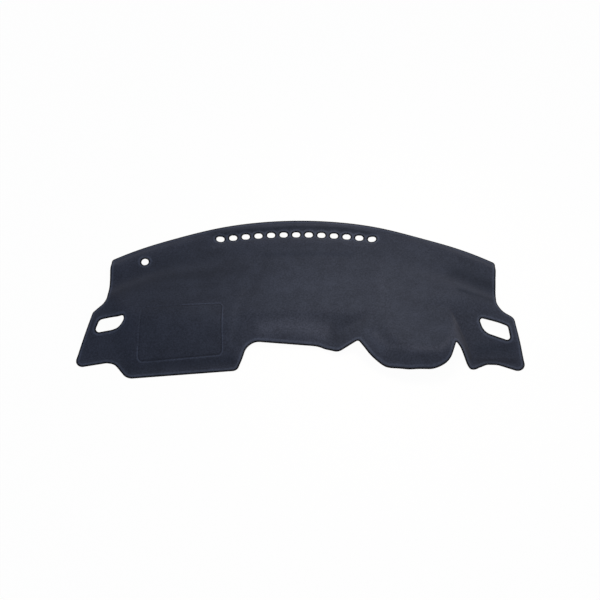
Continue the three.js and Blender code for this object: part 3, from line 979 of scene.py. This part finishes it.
# A small warm lamp hangs low over the right of the middle, under a cooler even sky
KEY_PLACE = (0.26, 0.02, 0.78)
KEY_TARGET = (0.24, -0.01, 0.0)
KEY_SIZE = 0.35
KEY_COLOUR = (1.0, 0.86, 0.66)
SKY_COLOUR = (0.90, 0.93, 1.0, 1.0)
FLOOR_COLOUR = (0.9, 0.9, 0.9, 1)
WHITE = (1, 1, 1, 1)
SEEN_DIRECTLY = ("Is Camera Ray", "Is Glossy Ray", "Is Transmission Ray")


def floor_finish(settings):
    shader = Shader(bpy.data.materials.new("white_floor"))
    paths = shader.tree.nodes.new("ShaderNodeLightPath")
    camera, glossy, through = (Wire(shader, paths.outputs[name]) for name in SEEN_DIRECTLY)
    clamped = {"operation": "ADD", "use_clamp": True}
    direct = shader.node("ShaderNodeMath", 0, clamped, {0: camera + glossy, 1: through})
    lit = shader.node("ShaderNodeBsdfDiffuse", "BSDF", None, {"Color": FLOOR_COLOUR})
    white = shader.node("ShaderNodeEmission", "Emission", None, {"Color": WHITE, "Strength": 1.0})
    mixed = shader.node("ShaderNodeMixShader", 0, None, {0: direct * settings.floor_glow, 1: lit, 2: white})
    shader.node("ShaderNodeOutputMaterial", None, None, {"Surface": mixed})
    return shader.owner


def build_floor(settings):
    shape = bmesh.new()
    bmesh.ops.create_grid(shape, x_segments=1, y_segments=1, size=settings.floor_size / 2)
    floor = piece_from("studio_floor", shape, [floor_finish(settings)])


def build_sky(settings):
    world = bpy.data.worlds.new("studio")
    bpy.context.scene.world = world
    shader = Shader(world)
    paths = shader.tree.nodes.new("ShaderNodeLightPath")
    camera = Wire(shader, paths.outputs["Is Camera Ray"])
    sky = {"Color": SKY_COLOUR, "Strength": settings.sky_strength}
    even = shader.node("ShaderNodeBackground", 0, None, sky)
    white = shader.node("ShaderNodeBackground", 0, None, {"Color": WHITE, "Strength": 1.0})
    mixed = shader.node("ShaderNodeMixShader", 0, None, {0: camera, 1: even, 2: white})
    shader.node("ShaderNodeOutputWorld", None, None, {"Surface": mixed})


def add_lamp(name, place, target, size, power, colour):
    lamp = bpy.data.lights.new(name, "AREA")
    lamp.shape = "DISK"
    lamp.size = size
    lamp.energy = power
    lamp.color = colour
    holder = bpy.data.objects.new(name, lamp)
    holder.location = place
    holder.visible_camera = False
    holder.rotation_euler = (Vector(target) - Vector(place)).to_track_quat("-Z", "Y").to_euler()
    bpy.context.scene.collection.objects.link(holder)


def build_camera(settings):
    target = Vector(settings.camera_target)
    tilt = settings.camera_elevation
    back = Vector((0, -math.cos(tilt), math.sin(tilt)))
    data = bpy.data.cameras.new("camera")
    data.lens = settings.camera_lens
    data.sensor_width = 36.0
    camera = bpy.data.objects.new("camera", data)
    camera.location = target + back * settings.camera_distance
    camera.rotation_euler = (math.pi / 2 - tilt, 0, 0)
    bpy.context.scene.collection.objects.link(camera)
    bpy.context.scene.camera = camera


# Operators


class DASHMAT_OT_sheet(bpy.types.Operator):
    """Build the velour sheet"""

    bl_idname = "dashmat.sheet"
    bl_label = "Velour sheet"

    def execute(self, context):
        build_sheet(context.scene.dashmat_sheet)
        return {"FINISHED"}


class DASHMAT_OT_outer_edge(bpy.types.Operator):
    """Stitch the outer edge of the sheet"""

    bl_idname = "dashmat.outer_edge"
    bl_label = "Outer edge stitching"

    def execute(self, context):
        piece = stitched_band("outer_edge_stitching", OUTLINE, -1, context.scene.dashmat_overlock)
        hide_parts("outer_edge_overlock")
        return {"FINISHED"}


class DASHMAT_OT_cutout_edges(bpy.types.Operator):
    """Stitch the edges of the slots, the vent holes and the sensor hole"""

    bl_idname = "dashmat.cutout_edges"
    bl_label = "Cut-out stitching"

    def execute(self, context):
        for name, loop in CUTOUTS.items():
            piece = stitched_band(f"{name}_stitching", loop, 1, context.scene.dashmat_overlock)
            number = name.rsplit("_", 1)[1]
            node = f"defrost_slot_overlock_{number}" if number.isdigit() else f"{name}_overlock"
            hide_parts(node)
        return {"FINISHED"}


class DASHMAT_OT_stage(bpy.types.Operator):
    """Set the floor, the light and the camera"""

    bl_idname = "dashmat.stage"
    bl_label = "Stage"

    def execute(self, context):
        settings = context.scene.dashmat_stage
        build_floor(settings)
        build_sky(settings)
        add_lamp("key", KEY_PLACE, KEY_TARGET, KEY_SIZE, settings.key_power, KEY_COLOUR)
        build_camera(settings)
        context.scene.view_settings.view_transform = "Standard"
        return {"FINISHED"}


class DASHMAT_PT_panel(bpy.types.Panel):
    """The sizes and colours of the mat, with the steps that build it"""

    bl_label = "Dashboard mat"
    bl_idname = "DASHMAT_PT_panel"
    bl_space_type = "VIEW_3D"
    bl_region_type = "UI"
    bl_category = "Dashboard mat"

    def draw(self, context):
        for settings, operators in PANEL_ROWS:
            group = getattr(context.scene, settings)
            box = self.layout.box()
            for name in group.bl_rna.properties.keys():
                if name not in ("rna_type", "name"):
                    box.prop(group, name)
            for operator in operators:
                box.operator(operator)


PANEL_ROWS = (
    ("dashmat_sheet", ("dashmat.sheet",)),
    ("dashmat_overlock", ("dashmat.outer_edge", "dashmat.cutout_edges")),
    ("dashmat_stage", ("dashmat.stage",)),
)
SETTINGS = {
    "dashmat_sheet": SheetSettings,
    "dashmat_overlock": OverlockSettings,
    "dashmat_stage": StageSettings,
}
CLASSES = (
    *SETTINGS.values(),
    DASHMAT_OT_sheet,
    DASHMAT_OT_outer_edge,
    DASHMAT_OT_cutout_edges,
    DASHMAT_OT_stage,
    DASHMAT_PT_panel,
)


def register():
    for cls in CLASSES:
        bpy.utils.register_class(cls)
    for name, cls in SETTINGS.items():
        setattr(bpy.types.Scene, name, bpy.props.PointerProperty(type=cls))


def unregister():
    for name in SETTINGS:
        delattr(bpy.types.Scene, name)
    for cls in reversed(CLASSES):
        bpy.utils.unregister_class(cls)


def main():
    register()
    bpy.ops.dashmat.sheet()
    bpy.ops.dashmat.outer_edge()
    bpy.ops.dashmat.cutout_edges()
    bpy.ops.dashmat.stage()


if __name__ == "__main__":
    main()
